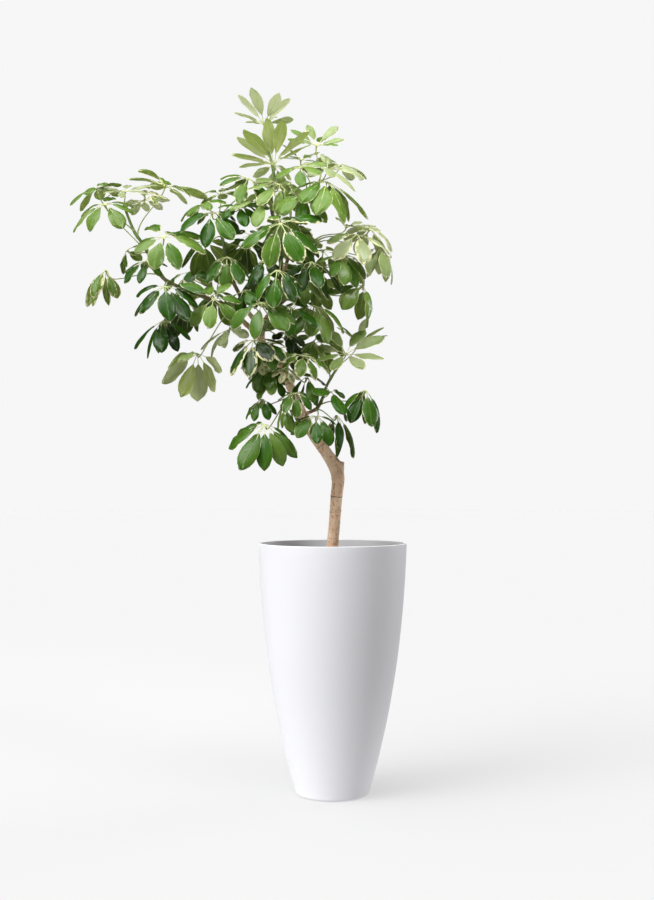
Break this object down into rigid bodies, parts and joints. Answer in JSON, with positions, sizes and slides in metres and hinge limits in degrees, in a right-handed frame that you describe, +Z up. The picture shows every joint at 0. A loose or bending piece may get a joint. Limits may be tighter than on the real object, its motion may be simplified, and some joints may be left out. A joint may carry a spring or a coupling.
{
  "type": "potted umbrella tree",
  "caption": "Crooked-trunked variegated dwarf umbrella tree with palmate leaves on long stalks, growing in soil in a tall tapered round white planter.",
  "frame": {"origin": "centre of the planter's flat foot, on the floor", "axes": "+Z up the planter and the tree, +X to the right seen from the front, -Y towards the front"},
  "size_m": [0.8447, 0.5095, 1.7414],
  "materials": {
    "planter": "matt white glass-fibre resin",
    "soil": "dark loose potting mix, matt",
    "bark": "smooth tan bark with ring scars",
    "foliage": "leathery green leaflets with cream margins, satin"
  },
  "bodies": {
    "root": {"planter": "planter", "potting_soil": "soil", "trunk": "bark", "leafy_shoot_left": "foliage", "leafy_shoot_centre_left": "foliage", "leafy_shoot_low_left": "foliage", "leafy_shoot_top": "foliage", "leafy_shoot_middle": "foliage", "leafy_shoot_front": "foliage", "leafy_shoot_right": "foliage", "leafy_shoot_centre": "foliage", "leafy_shoot_centre_low": "foliage", "leafy_shoot_low_right": "foliage", "leafy_shoot_low_front": "foliage", "leafy_shoot_back_low": "foliage", "leafy_shoot_back_middle": "foliage", "leafy_shoot_back_high": "foliage", "leafy_shoot_back_left": "foliage", "leafy_shoot_back_right": "foliage"}
  },
  "joints": []
}
